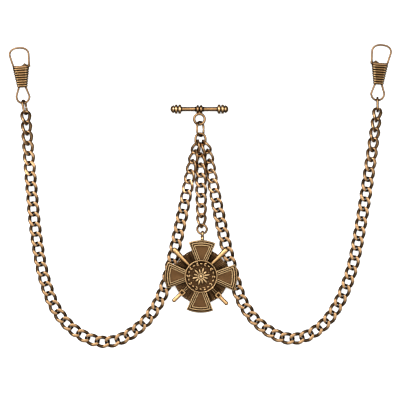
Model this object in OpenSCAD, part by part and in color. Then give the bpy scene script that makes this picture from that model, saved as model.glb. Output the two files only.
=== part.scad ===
// Pocket watch chain: a T-bar, an oval link and a gather ring carry two long
// side chains with sliding-sleeve clips and a short centre chain with a medal.
// Millimetres, +Z up. The chain lies on a table at Z = 0, T-bar towards +Y.

/* [Curb links] */
// Length of a link, along the middle of its wire
link_length = 6; // [5.9:0.05:6.1]
// Width of a link, along the middle of its wire
link_width = 4.2; // [4.1:0.05:4.3]
// Diameter of the curb link wire
link_wire = 1.2; // [1.1:0.05:1.2]
// Twist of each end of a link out of its middle plane, degrees
link_twist = 42; // [40:1:46]

/* [Chains] */
// Pitch of the left chain's links
left_pitch = 4.65; // [4.63:0.01:4.67]
// Pitch of the right chain's links
right_pitch = 4.58; // [4.56:0.01:4.6]
// Pitch of the centre chain's links
centre_pitch = 4.65; // [4.63:0.01:4.67]
// Roll of the first and last links of the side chains, degrees
end_roll = 45; // [42:1:48]

/* [T-bar] */
// Overall length of the T-bar
bar_length = 26.8; // [25:0.2:30]
// Diameter of the T-bar's shaft
bar_shaft = 1.8; // [1.6:0.1:2]
// Diameter of the beads on the T-bar's ends
bar_bead = 4.1; // [3.9:0.1:4.2]
// Distance of the T-bar's axis from the X axis
bar_y = 40.3; // [40.2:0.1:40.4]

/* [Rings] */
// Wire diameter of the T-bar's eye and of the gather ring
ring_wire = 1.1; // [1:0.05:1.15]
// Wire diameter of the oval link and the clip links
oval_wire = 1; // [0.9:0.05:1]
// Turn of the oval link about its long axis, degrees
oval_turn = 50; // [46:1:54]
// Width of the cut in the open links
open_cut = 0.2; // [0.1:0.05:0.3]

/* [Medal] */
// Radius of the medal over the ends of its arms
medal_radius = 16.6; // [16.2:0.1:17]
// Radius of the ray plate between the arms
ray_radius = 12.3; // [12:0.1:12.6]
// Radius of the disc at the centre
disc_radius = 7.4; // [7.2:0.1:7.4]
// Turn of the medal on its ring, degrees clockwise
medal_turn = 2; // [1:0.5:3]

/* [Clips] */
// Wire diameter of the clip frames
clip_wire = 0.86; // [0.8:0.02:0.9]
// Lean of the left clip, degrees outward
left_lean = 4.1; // [3.5:0.1:4.5]
// Lean of the right clip, degrees outward
right_lean = 4.1; // [3.5:0.1:4.5]
// Number of ribs on a sleeve
sleeve_ribs = 8; // [6:1:8]

/* [Hidden] */
$fn = 48;
bronze = [0.55, 0.4, 0.22];
dark_bronze = [0.3, 0.21, 0.12];
pale_bronze = [0.68, 0.51, 0.3];

// curb link: rings of points round a twisted, squarish oval
link_rings = 12;
link_sides = 6;
link_fullness = 2.5;
side_links = 49;
centre_links = 8;

// heights of the pieces over the table
bar_z = 2.05;
ring_z = 2.5;
oval_z = 2.25;
clip_z = 2.3;
fit_gap = 0.02;

// T-bar ends and collar
knob_length = 5.05;
collar_bead = 0.75;
collar_spread = 0.85;
eye_radius = 2.43;
eye_y = bar_y - 4.6;

// oval link and gather ring, sizes along the middle of the wire
oval_at = [0.42, 31.22];
oval_size = [4.6, 6.64];
oval_pitch = -6.4;
gather_at = [0.5, 26.25];
gather_size = [4.54, 5.65];

// routes: first link, its heading from straight down, then [links, turn]
left_start = [-1.41, 22.98];
left_heading = 15.65;
left_runs = [[1, -2.45], [1, -2.2], [1, -0.45], [9, 2.45], [3, 9], [3, 19], [3, 25], [3, 43],
             [3, 27], [3, 23], [4, 11], [5, 5], [9, 1]];
right_start = [2.85, 23.1];
right_heading = 24.9;
right_runs = [[1, -15.6], [1, -0.5], [1, 1.1], [9, 4.1], [3, 4], [3, 24], [3, 24], [3, 47], [3, 31],
              [3, 14], [4, 11], [5, 2], [9, 2]];
centre_start = [0.62, 21.64];
centre_heading = 0.57;
roll_in_links = 6;
roll_out_links = 8;
side_ring_roll = 49;
centre_ring_roll = 51.7;
centre_last_roll = -39;
left_ring_rise = 0.225;
centre_ring_rise = 0.045;
centre_low = 2.1;
centre_rise = 0.28;

// medal, built round its own centre and laid on the side chains
medal_at = [0.75, -36.4];
plate_z = 3.05;
plate_thick = 0.6;
sword_thick = 0.6;
cross_top = 4.6;
arm_half_at_disc = 2.88;
arm_flare = 0.41;
arm_start = disc_radius + 0.1;
ridge_heights = [0.55, 0.4, 0.3];
ridge_step = 0.85;
ridge_width = 0.45;
ray_ribs = [-18, -13, -8, 8, 13, 18];
sword_angle = 44;
medal_ring_at = [1.22, -14.8, 3.35];
medal_ring_radius = 2.2;
medal_ring_wire = 1;
medal_ring_tilt = 20;
bail_radius = 1.1;
bail_wire = 0.9;
bail_z = 4.1;
bail_at = medal_radius + 2.85;

// clips: the sleeve's lower edge is the origin of each clip
left_clip_at = [-81.25, 50.05];
right_clip_at = [82.1, 51.38];
clip_link_wire = 1.05;
left_clip_link_size = [3.4, 6.35];
right_clip_link_size = [3.4, 6.25];
left_clip_link_at = [-80.16, 41.11];
left_clip_link_lean = 11.5;
right_clip_link_at = [81.75, 42.38];
right_clip_link_lean = 0.95;
left_clip_link_turn = 70;
right_clip_link_turn = 84;
hook_centre = [-0.38, 15.2];
hook_half = [4.33, 3.2];
hook_fullness = 2.3;
loop_radius = 2.93;
loop_centre = -4.14;
wire_sides = 8;
sleeve_half_low = 2.36;
sleeve_half_high = 3.78;
sleeve_thick_low = 1.7;
sleeve_thick_high = 2.15;
sleeve_length = 8.7;
sleeve_wall = 0.35;
rib_depth = 0.25;
cap_low = 9.3;
cap_high = 10.2;
socket_at = [3.79, 10.05];
socket_radius = 0.75;
spring_radius = 0.85;
spring_wire = 0.28;
spring_low = 1.75;
spring_high = 9.1;
spring_turns = 7;

function heading_turns(runs) = [for (run = runs) for (k = [1:run[0]]) run[1] / run[0]];
function step(side, heading) = [side * sin(heading), -cos(heading)];
function route(side, start, first, turns, pitch) =
  [for (i = 0, at = start, h = first; i <= len(turns);
        at = at + pitch * step(side, h + (i < len(turns) ? turns[i] : 0) / 2),
        h = h + (i < len(turns) ? turns[i] : 0), i = i + 1)
    [at, h]];

left_route = route(-1, left_start, left_heading, heading_turns(left_runs), left_pitch);
right_route = route(1, right_start, right_heading, heading_turns(right_runs), right_pitch);
centre_route = route(1, centre_start, centre_heading,
                     [for (k = [2:centre_links]) 0], centre_pitch);

function side_roll(i) =
  i <= roll_in_links ? side_ring_roll * (1 - i / roll_in_links)
  : i >= side_links - 1 - roll_out_links
    ? end_roll * (i - side_links + 1 + roll_out_links) / roll_out_links
    : 0;
function centre_roll(i) =
  centre_ring_roll + (centre_last_roll - centre_ring_roll) * i / (centre_links - 1);
function ease(i, count) = pow(max(0, 1 - i / count), 2);
function centre_height(i) =
  centre_low + centre_rise * pow(2 * i / (centre_links - 1) - 1, 2)
  + centre_ring_rise * ease(i, centre_links - 1);

function full_power(value, fullness) = sign(value) * pow(abs(value), 2 / fullness);
function link_point(t) =
  let (along = link_length / 2 * full_power(cos(t), link_fullness),
       across = link_width / 2 * full_power(sin(t), link_fullness),
       twist = link_twist * along / (link_length / 2))
    [along, across * cos(twist), -across * sin(twist)];
function unit(v) = v / norm(v);
function lift(roll) =
  link_wire / 2 + max([for (t = [0:5:355])
    let (p = link_point(t)) -(p[2] * cos(roll) + p[1] * sin(roll))]);

// ring of points round a wire at p, across direction d, with out as zero angle
function wire_ring(p, d, out, radius, sides) =
  let (a = unit(out - (out * d) * d), b = cross(d, a))
    [for (k = [0:sides - 1])
      p + radius * (a * cos(360 * k / sides) + b * sin(360 * k / sides))];

function flat(lists) = [for (list = lists) for (item = list) item];

module closed_wire(rings) {
  count = len(rings);
  sides = len(rings[0]);
  faces = [for (i = [0:count - 1]) for (k = [0:sides - 1])
    [i * sides + k, i * sides + (k + 1) % sides,
     (i + 1) % count * sides + (k + 1) % sides, (i + 1) % count * sides + k]];
  triangles = flat([for (f = faces) [[f[0], f[2], f[1]], [f[0], f[3], f[2]]]]);
  polyhedron(points = flat(rings), faces = triangles);
}

module open_wire(rings) {
  count = len(rings);
  sides = len(rings[0]);
  faces = [for (i = [0:count - 2]) for (k = [0:sides - 1])
    [i * sides + k, i * sides + (k + 1) % sides,
     (i + 1) * sides + (k + 1) % sides, (i + 1) * sides + k]];
  triangles = flat([for (f = faces) [[f[0], f[2], f[1]], [f[0], f[3], f[2]]]]);
  start_cap = [for (k = [0:sides - 1]) k];
  end_cap = [for (k = [sides - 1:-1:0]) (count - 1) * sides + k];
  polyhedron(points = flat(rings), faces = concat(triangles, [start_cap, end_cap]));
}

// one curb link, travelling along +X
module curb_link() {
  rings = [for (i = [0:link_rings - 1])
    let (t = 360 * i / link_rings,
         p = link_point(t),
         d = unit(link_point(t + 1) - link_point(t - 1)))
      wire_ring(p, d, p, link_wire / 2, link_sides)];
  closed_wire(rings);
}

module placed_link(side, place, roll, height) {
  direction = step(side, place[1]);
  translate([place[0][0], place[0][1], height])
    rotate([0, 0, atan2(direction[1], direction[0])])
      rotate([roll, 0, 0])
        curb_link();
}

module left_links(first, last) {
  color(bronze)
    for (i = [first - 1:last - 1])
      placed_link(-1, left_route[i], side_roll(i),
                  lift(side_roll(i)) + left_ring_rise * ease(i, roll_in_links));
}

module right_links(first, last) {
  color(bronze)
    for (i = [first - 1:last - 1])
      placed_link(1, right_route[i], side_roll(i), lift(side_roll(i)));
}

module centre_links_from(first, last) {
  color(bronze)
    for (i = [first - 1:last - 1])
      placed_link(1, centre_route[i], centre_roll(i), centre_height(i));
}

// oval ring of round wire in the XY plane, size along the middle of the wire
module oval_ring(size, wire) {
  end_radius = size[0] / 2;
  straight = size[1] - size[0];
  for (s = [-1, 1])
    translate([0, s * straight / 2, 0])
      rotate([0, 0, s > 0 ? 0 : 180])
        rotate_extrude(angle = 180)
          translate([end_radius, 0])
            circle(d = wire);
  for (s = [-1, 1])
    translate([s * end_radius, straight / 2, 0])
      rotate([90, 0, 0])
        cylinder(h = straight, d = wire);
}

module cut_oval_ring(size, wire, cut_height) {
  difference() {
    oval_ring(size, wire);
    translate([size[0] / 2, cut_height, 0])
      cube([2 * wire, open_cut, 2 * wire], center = true);
  }
}

module t_bar_shaft() {
  shaft = bar_length - 2 * knob_length;
  color(bronze)
    translate([-shaft / 2, bar_y, bar_z])
      rotate([0, 90, 0])
        cylinder(h = shaft, d = bar_shaft);
}

module knob_outline() {
  bead = 0.62;
  bead_at = bar_bead / 2 - bead;
  groove_radius = 1.4;
  dome_radius = 1.65;
  intersection() {
    union() {
      translate([bead_at, bead]) circle(r = bead);
      square([bead_at, 2 * bead]);
      square([groove_radius, 2.3]);
      translate([bead_at, 2.3]) circle(r = bead);
      translate([0, 2.3 - bead]) square([bead_at, 2 * bead]);
      square([dome_radius, knob_length - dome_radius]);
      translate([0, knob_length - dome_radius]) circle(r = dome_radius);
    }
    square([bar_bead, knob_length]);
  }
}

module t_bar_knobs() {
  color(pale_bronze)
    for (s = [-1, 1])
      translate([s * (bar_length / 2 - knob_length), bar_y, bar_z])
        rotate([0, s * 90, 0])
          rotate_extrude()
            knob_outline();
}

module t_bar_eye() {
  collar_groove = 1.25;
  color(bronze)
    difference() {
      union() {
        translate([-collar_spread, bar_y, bar_z])
          rotate([0, 90, 0])
            cylinder(h = 2 * collar_spread, r = collar_groove);
        for (s = [-1, 1])
          translate([s * collar_spread, bar_y, bar_z])
            rotate([0, 90, 0])
              rotate_extrude()
                intersection() {
                  translate([bar_shaft / 2, 0]) circle(r = collar_bead);
                  translate([bar_shaft / 4, -bar_bead / 2]) square(bar_bead);
                }
        translate([0, eye_y, bar_z])
          rotate_extrude()
            translate([eye_radius, 0]) circle(d = ring_wire);
        translate([0, bar_y - bar_shaft / 2 - fit_gap, bar_z])
          rotate([90, 0, 0])
            cylinder(h = bar_y - bar_shaft / 2 - eye_y - eye_radius, d = ring_wire);
      }
      translate([-bar_bead, bar_y, bar_z])
        rotate([0, 90, 0])
          cylinder(h = 2 * bar_bead, r = bar_shaft / 2 + fit_gap);
    }
}

module oval_link() {
  color(bronze)
    translate([oval_at[0], oval_at[1], oval_z])
      rotate([oval_pitch, 0, 0])
        rotate([0, oval_turn, 0])
          cut_oval_ring(oval_size, oval_wire, 0.1);
}

module gather_ring() {
  color(bronze)
    translate([gather_at[0], gather_at[1], ring_z])
      oval_ring(gather_size, ring_wire);
}

module medal_place() {
  translate([medal_at[0], medal_at[1], 0])
    rotate([0, 0, -medal_turn])
      children();
}

// outline of one arm, pulled in all round by inset
module arm_outline(inset, start) {
  end = medal_radius + 1;
  half_start = arm_half_at_disc + arm_flare * (start - arm_start) - inset * 1.08;
  half_end = half_start + arm_flare * (end - start);
  intersection() {
    circle(r = medal_radius - inset);
    polygon([[-half_start, start], [half_start, start], [half_end, end], [-half_end, end]]);
  }
}

module medal_cross() {
  color(dark_bronze)
    medal_place() {
      translate([0, 0, plate_z + plate_thick + sword_thick])
        cylinder(h = cross_top - plate_z - plate_thick - sword_thick, r = disc_radius);
      for (a = [0:90:270])
        rotate([0, 0, a]) {
          translate([0, 0, plate_z + plate_thick])
            linear_extrude(cross_top - plate_z - plate_thick)
              arm_outline(0, arm_start - 0.3);
          for (k = [0:2])
            translate([0, 0, cross_top - 0.1])
              linear_extrude(ridge_heights[k] + 0.1)
                difference() {
                  arm_outline(k * ridge_step, arm_start);
                  arm_outline(k * ridge_step + ridge_width, arm_start - 1);
                }
        }
    }
}

module medal_ray_plate() {
  rib_length = ray_radius + 0.4 - arm_start;
  color(dark_bronze)
    medal_place() {
      translate([0, 0, plate_z])
        cylinder(h = plate_thick, r = ray_radius);
      for (quarter = [45:90:315])
        for (a = ray_ribs)
          rotate([0, 0, quarter + a])
            translate([arm_start, -0.2, plate_z])
              cube([rib_length, 0.4, plate_thick + 0.3]);
    }
}

// blade above, hilt below, lying along +X before it is turned
module sword(under) {
  blade_end = 18;
  hilt_end = 17.8;
  guard_at = 11.3;
  base = plate_z + plate_thick;
  difference() {
    union() {
      translate([0, 0, base])
        linear_extrude(sword_thick)
          polygon([[-guard_at, -0.45], [arm_start, -0.45], [blade_end - 1.1, -1.1],
                   [blade_end - 1.1, 1.1], [arm_start, 0.45], [-guard_at, 0.45]]);
      translate([blade_end - 1.1, 0, base])
        cylinder(h = sword_thick, r = 1.1);
      translate([arm_start + 0.4, 0, base])
        rotate([0, 90, 0])
          cylinder(h = blade_end - arm_start - 1.5, r1 = 0.5, r2 = 1.05);
      translate([-guard_at - 0.9, -1.1, base])
        cube([1.8, 2.2, 1.3]);
      translate([-hilt_end, -0.7, base])
        cube([hilt_end - guard_at, 1.4, 0.9]);
    }
    translate([-disc_radius, -disc_radius, under ? base + sword_thick / 2 : base - 1])
      cube([2 * disc_radius, 2 * disc_radius, under ? 3 : 1 + sword_thick / 2 + fit_gap]);
    translate([-hilt_end - 1, -3, base - 2])
      cube([2 * hilt_end + 2, 6, 2]);
  }
}

module medal_sword_left() {
  color(pale_bronze)
    medal_place()
      rotate([0, 0, 90 + sword_angle])
        sword(true);
}

module medal_sword_right() {
  color(pale_bronze)
    medal_place()
      rotate([0, 0, 90 - sword_angle])
        sword(false);
}

module medal_disc() {
  rim_width = 0.4;
  base_thick = 0.45;
  rim_top = 0.9;
  bead_radius = 0.4;
  bead_ring = 5.6;
  color(dark_bronze)
    medal_place()
      translate([0, 0, cross_top])
        rotate_extrude()
          intersection() {
            union() {
              square([disc_radius, base_thick]);
              translate([disc_radius - rim_width, 0])
                square([rim_width, rim_top]);
              translate([bead_ring, base_thick]) circle(r = bead_radius);
            }
            square([disc_radius, rim_top]);
          }
}

module medal_rosette() {
  points = 12;
  tip = 3.6;
  valley = 2.3;
  boss = 1.4;
  color(pale_bronze)
    medal_place()
      translate([0, 0, cross_top + 0.45]) {
        linear_extrude(0.3)
          polygon([for (k = [0:2 * points - 1])
            (k % 2 == 0 ? tip : valley) * [cos(180 * k / points), sin(180 * k / points)]]);
        cylinder(h = 0.6, r = boss);
      }
}

module medal_bail() {
  color(pale_bronze)
    medal_place()
      translate([0, bail_at, bail_z]) {
        rotate([0, 90, 0])
          rotate_extrude()
            translate([bail_radius, 0]) circle(d = bail_wire);
        translate([0, -bail_radius, 0])
          rotate([90, 0, 0])
            cylinder(h = bail_at - medal_radius - bail_radius - fit_gap, d = bail_wire);
      }
}

module medal_ring() {
  color(bronze)
    translate(medal_ring_at)
      rotate([-medal_ring_tilt, 0, 0])
        difference() {
          rotate_extrude()
            translate([medal_ring_radius, 0]) circle(d = medal_ring_wire);
          rotate([0, 0, -60])
            translate([medal_ring_radius, 0, 0])
              cube([2 * medal_ring_wire, open_cut, 2 * medal_ring_wire], center = true);
        }
}

module left_clip_link() {
  color(bronze)
    translate([left_clip_link_at[0], left_clip_link_at[1], clip_z])
      rotate([0, 0, left_clip_link_lean])
        rotate([0, left_clip_link_turn, 0])
          cut_oval_ring(left_clip_link_size, clip_link_wire, 0);
}

module right_clip_link() {
  color(bronze)
    translate([right_clip_link_at[0], right_clip_link_at[1], clip_z])
      rotate([0, 0, right_clip_link_lean])
        rotate([0, right_clip_link_turn, 0])
          cut_oval_ring(right_clip_link_size, clip_link_wire, 0);
}

module clip_place(at, lean) {
  translate([at[0], at[1], clip_z])
    rotate([0, 0, lean])
      children();
}

// the middle of a clip frame's wire, from the hook's tip to the spring seat
function clip_path(inner) = [for (p = concat(
  [[socket_at[0], socket_at[1] - 0.15], [3.9, 13]],
  [for (t = [0:15:180]) hook_centre + [hook_half[0] * full_power(cos(t), hook_fullness),
                                       hook_half[1] * full_power(sin(t), hook_fullness)]],
  [[-4.15, 12.8], [-3.4, 10.1], [-2.5, 8.2], [-1.65, 2.6], [-1.5, 1], [-1.75, -0.2]],
  [for (t = [164:20:376]) [loop_radius * cos(t), loop_centre + loop_radius * sin(t)]],
  [[1.75, -0.2], [1.5, 1], [1.5, 1.5]])) [inner * p[0], p[1], 0]];

module clip_frame(inner) {
  path = clip_path(inner);
  last = len(path) - 1;
  rings = [for (i = [0:last])
    let (d = unit(path[min(i + 1, last)] - path[max(i - 1, 0)]))
      wire_ring(path[i], d, [0, 0, 1], clip_wire / 2, wire_sides)];
  open_wire(rings);
  translate([-1.1, 0.9, -0.5])
    cube([2.2, 0.7, 1]);
}

module sleeve_slice(at, half, thick) {
  translate([0, at, 0])
    rotate([-90, 0, 0])
      linear_extrude(0.01)
        scale([half, thick])
          circle(r = 1, $fn = 28);
}

function sleeve_half(at) =
  sleeve_half_low + (sleeve_half_high - sleeve_half_low) * at / sleeve_length;
function sleeve_thick(at) =
  sleeve_thick_low + (sleeve_thick_high - sleeve_thick_low) * at / sleeve_length;

module sleeve_hollow() {
  low = -0.1;
  hull() {
    sleeve_slice(low, sleeve_half(0) - sleeve_wall - rib_depth / 2,
                 sleeve_thick(0) - sleeve_wall - rib_depth);
    sleeve_slice(cap_low, sleeve_half(sleeve_length) - sleeve_wall - rib_depth / 2,
                 sleeve_thick(sleeve_length) - sleeve_wall - rib_depth);
  }
}

module clip_sleeve(inner) {
  rib_pitch = sleeve_length / sleeve_ribs;
  slot_half = 0.56;
  slot_top = 2.9;
  notch = [-4.6, -1.8];
  difference() {
    union() {
      for (i = [0:sleeve_ribs - 1])
        hull() {
          sleeve_slice(0.2 + i * rib_pitch, sleeve_half(i * rib_pitch) - rib_depth,
                       sleeve_thick(i * rib_pitch) - rib_depth);
          sleeve_slice(0.2 + (i + 0.5) * rib_pitch, sleeve_half((i + 0.5) * rib_pitch),
                       sleeve_thick((i + 0.5) * rib_pitch));
          sleeve_slice(0.2 + (i + 1) * rib_pitch, sleeve_half((i + 1) * rib_pitch) - rib_depth,
                       sleeve_thick((i + 1) * rib_pitch) - rib_depth);
        }
      hull() {
        sleeve_slice(0.2 + sleeve_length, sleeve_half_high - rib_depth,
                     sleeve_thick_high - rib_depth);
        sleeve_slice(cap_high, sleeve_half_high - 0.3, sleeve_thick_high - 0.5);
      }
      hull() {
        translate([inner * 1.65 - 1, cap_high - 0.6, -0.7]) cube([2, 0.2, 1.4]);
        translate([inner * 1.8 - 0.2, cap_high + 0.9, -0.3]) cube([0.4, 0.2, 0.6]);
      }
      translate([inner * socket_at[0], socket_at[1] - socket_radius, 0])
        rotate([-90, 0, 0])
          cylinder(h = 2 * socket_radius - 0.1, r = socket_radius, $fn = 16);
    }
    sleeve_hollow();
    translate([inner * socket_at[0], socket_at[1] - 0.25, 0])
      rotate([-90, 0, 0])
        cylinder(h = 2, r = clip_wire / 2 + 0.08, $fn = 16);
    translate([inner > 0 ? notch[0] : -notch[1], sleeve_length - 0.2, -slot_half])
      cube([notch[1] - notch[0], 3, 2 * slot_half]);
    translate([-sleeve_half_high, -1, -slot_half])
      cube([2 * sleeve_half_high, slot_top + 1, 2 * slot_half]);
  }
}

module clip_spring() {
  per_turn = 10;
  count = spring_turns * per_turn;
  path = [for (i = [0:count])
    [spring_radius * cos(360 * i / per_turn),
     spring_low + (spring_high - spring_low) * i / count,
     spring_radius * sin(360 * i / per_turn)]];
  rings = [for (i = [0:count])
    let (d = unit(path[min(i + 1, count)] - path[max(i - 1, 0)]))
      wire_ring(path[i], d, [0, 1, 0], spring_wire / 2, 5)];
  open_wire(rings);
}

module left_clip_frame() {
  color(bronze)
    clip_place(left_clip_at, left_lean)
      clip_frame(1);
}

module left_clip_sleeve() {
  color(pale_bronze)
    clip_place(left_clip_at, left_lean)
      clip_sleeve(1);
}

module left_clip_spring() {
  color(dark_bronze)
    clip_place(left_clip_at, left_lean)
      clip_spring();
}

module right_clip_frame() {
  color(bronze)
    clip_place(right_clip_at, -right_lean)
      clip_frame(-1);
}

module right_clip_sleeve() {
  color(pale_bronze)
    clip_place(right_clip_at, -right_lean)
      clip_sleeve(-1);
}

module right_clip_spring() {
  color(dark_bronze)
    clip_place(right_clip_at, -right_lean)
      clip_spring();
}

module left_chain_01() { left_links(1, 3); }
module left_chain_02() { left_links(4, 6); }
module left_chain_03() { left_links(7, 9); }
module left_chain_04() { left_links(10, 12); }
module left_chain_05() { left_links(13, 15); }
module left_chain_06() { left_links(16, 18); }
module left_chain_07() { left_links(19, 21); }
module left_chain_08() { left_links(22, 24); }
module left_chain_09() { left_links(25, 27); }
module left_chain_10() { left_links(28, 30); }
module left_chain_11() { left_links(31, 33); }
module left_chain_12() { left_links(34, 36); }
module left_chain_13() { left_links(37, 39); }
module left_chain_14() { left_links(40, 42); }
module left_chain_15() { left_links(43, 45); }
module left_chain_16() { left_links(46, 49); }
module right_chain_01() { right_links(1, 3); }
module right_chain_02() { right_links(4, 6); }
module right_chain_03() { right_links(7, 9); }
module right_chain_04() { right_links(10, 12); }
module right_chain_05() { right_links(13, 15); }
module right_chain_06() { right_links(16, 18); }
module right_chain_07() { right_links(19, 21); }
module right_chain_08() { right_links(22, 24); }
module right_chain_09() { right_links(25, 27); }
module right_chain_10() { right_links(28, 30); }
module right_chain_11() { right_links(31, 33); }
module right_chain_12() { right_links(34, 36); }
module right_chain_13() { right_links(37, 39); }
module right_chain_14() { right_links(40, 42); }
module right_chain_15() { right_links(43, 45); }
module right_chain_16() { right_links(46, 49); }
module centre_chain_1() { centre_links_from(1, 3); }
module centre_chain_2() { centre_links_from(4, 6); }
module centre_chain_3() { centre_links_from(7, 8); }

t_bar_shaft();
t_bar_knobs();
t_bar_eye();
oval_link();
gather_ring();
left_chain_01();
left_chain_02();
left_chain_03();
left_chain_04();
left_chain_05();
left_chain_06();
left_chain_07();
left_chain_08();
left_chain_09();
left_chain_10();
left_chain_11();
left_chain_12();
left_chain_13();
left_chain_14();
left_chain_15();
left_chain_16();
right_chain_01();
right_chain_02();
right_chain_03();
right_chain_04();
right_chain_05();
right_chain_06();
right_chain_07();
right_chain_08();
right_chain_09();
right_chain_10();
right_chain_11();
right_chain_12();
right_chain_13();
right_chain_14();
right_chain_15();
right_chain_16();
centre_chain_1();
centre_chain_2();
centre_chain_3();
medal_ring();
medal_bail();
medal_cross();
medal_ray_plate();
medal_sword_left();
medal_sword_right();
medal_disc();
medal_rosette();
left_clip_link();
left_clip_frame();
left_clip_sleeve();
left_clip_spring();
right_clip_link();
right_clip_frame();
right_clip_sleeve();
right_clip_spring();
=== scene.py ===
import math
import random

import bpy
import numpy as np
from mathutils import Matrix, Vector


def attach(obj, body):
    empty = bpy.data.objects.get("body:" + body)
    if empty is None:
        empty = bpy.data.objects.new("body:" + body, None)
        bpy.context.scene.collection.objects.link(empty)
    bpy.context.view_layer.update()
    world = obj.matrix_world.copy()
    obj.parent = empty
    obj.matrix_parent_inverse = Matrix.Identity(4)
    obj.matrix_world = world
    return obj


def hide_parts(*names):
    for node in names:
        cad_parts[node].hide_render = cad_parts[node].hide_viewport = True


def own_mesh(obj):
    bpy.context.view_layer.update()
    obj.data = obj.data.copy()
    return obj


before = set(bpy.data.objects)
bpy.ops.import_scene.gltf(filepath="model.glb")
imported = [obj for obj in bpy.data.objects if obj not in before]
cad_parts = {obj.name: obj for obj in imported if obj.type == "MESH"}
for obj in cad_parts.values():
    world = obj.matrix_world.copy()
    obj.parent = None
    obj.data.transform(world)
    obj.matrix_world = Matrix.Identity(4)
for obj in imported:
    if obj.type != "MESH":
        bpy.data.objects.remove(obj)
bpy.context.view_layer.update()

# Sizes and places are in millimetres and angles in degrees, as in the CAD source. Blender's own
# objects (floor, lights, camera) are in metres.
MM = 0.001

# ---------------------------------------------------------------- chain routes
LINK_LENGTH, LINK_WIDTH, LINK_WIRE = 6.0, 4.2, 1.2
LINK_TWIST, LINK_FULLNESS = 42.0, 2.5
LINKS, RUN = 49, 3  # links in a side chain, and in each of its runs (the last has one more)
CENTRE_RUNS, CENTRE_LAST = [(1, 3), (4, 6), (7, 8)], 7
PITCH = {"left": 4.65, "right": 4.58, "centre": 4.65}
START = {"left": (-1.41, 22.98), "right": (2.85, 23.1), "centre": (0.62, 21.64)}
HEADING = {"left": 15.65, "right": 24.9, "centre": 0.57}
SIDE = {"left": -1, "right": 1, "centre": 1}
# (number of links, degrees that the chain turns over them), from the ring to the end
RUNS = {
    "left": [(1, -2.45), (1, -2.2), (1, -0.45), (9, 2.45), (3, 9), (3, 19), (3, 25), (3, 43),
             (3, 27), (3, 23), (4, 11), (5, 5), (9, 1)],
    "right": [(1, -15.6), (1, -0.5), (1, 1.1), (9, 4.1), (3, 4), (3, 24), (3, 24), (3, 47),
              (3, 31), (3, 14), (4, 11), (5, 2), (9, 2)],
    "centre": [(7, 0)],
}
# A side chain lies flat except near the ring and the clip, where its links are rolled on edge.
END_ROLL, RING_ROLL, ROLL_IN, ROLL_OUT = 45.0, 49.0, 6, 8
CENTRE_ROLL = (51.7, -39)
CENTRE_HEIGHT, CENTRE_END_RISE, CENTRE_RING_RISE, LEFT_RISE = 2.1, 0.28, 0.045, 0.225


def power(value, fullness):
    """One axis of a superellipse: 2 gives an ellipse, more gives squarer corners."""
    return math.copysign(abs(value) ** (2 / fullness), value)


def link_point(t):
    """A point of the middle of a twisted link's wire."""
    t = math.radians(t)
    along = LINK_LENGTH / 2 * power(math.cos(t), LINK_FULLNESS)
    across = LINK_WIDTH / 2 * power(math.sin(t), LINK_FULLNESS)
    twist = math.radians(LINK_TWIST * along / (LINK_LENGTH / 2))
    return np.array([along, across * math.cos(twist), -across * math.sin(twist)])


def lift(roll):
    """How high a rolled link's middle is when its CAD wire touches the table."""
    r = math.radians(roll)
    low = max(-(p[2] * math.cos(r) + p[1] * math.sin(r))
              for p in (link_point(t) for t in range(0, 360, 5)))
    return LINK_WIRE / 2 + low


def roll_of(chain, i):
    if chain == "centre":
        first, last = CENTRE_ROLL
        return first + (last - first) * i / CENTRE_LAST
    if i <= ROLL_IN:
        return RING_ROLL * (1 - i / ROLL_IN)
    return END_ROLL * max(0, i - (LINKS - 1) + ROLL_OUT) / ROLL_OUT


def height_of(chain, i):
    if chain == "centre":
        along = i / CENTRE_LAST
        return (CENTRE_HEIGHT + CENTRE_END_RISE * (2 * i / CENTRE_LAST - 1) ** 2
                + CENTRE_RING_RISE * (1 - along) ** 2)
    rise = LEFT_RISE if chain == "left" else 0
    return lift(roll_of(chain, i)) + rise * max(0, 1 - i / ROLL_IN) ** 2


def route(chain):
    """The place and heading of each link. The chain bends half before and half after a link."""
    places, at, h = [], np.array(START[chain]), HEADING[chain]
    turns = [turn / n for n, turn in RUNS[chain] for _ in range(n)]
    for turn in turns + [0]:
        places.append((at, h))
        m = math.radians(h + turn / 2)
        at = at + PITCH[chain] * np.array([SIDE[chain] * math.sin(m), -math.cos(m)])
        h += turn
    return places


ROUTE = {chain: route(chain) for chain in RUNS}


# ---------------------------------------------------------------- mesh helpers
def unit(v):
    return v / np.linalg.norm(v)


def turn(points, axis, degrees):
    """Turns points about an axis through the origin."""
    a = math.radians(degrees)
    c, s = math.cos(a), math.sin(a)
    m = {"x": [[1, 0, 0], [0, c, -s], [0, s, c]],
         "y": [[c, 0, s], [0, 1, 0], [-s, 0, c]],
         "z": [[c, -s, 0], [s, c, 0], [0, 0, 1]]}[axis]
    return np.asarray(points) @ np.array(m).T


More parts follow.
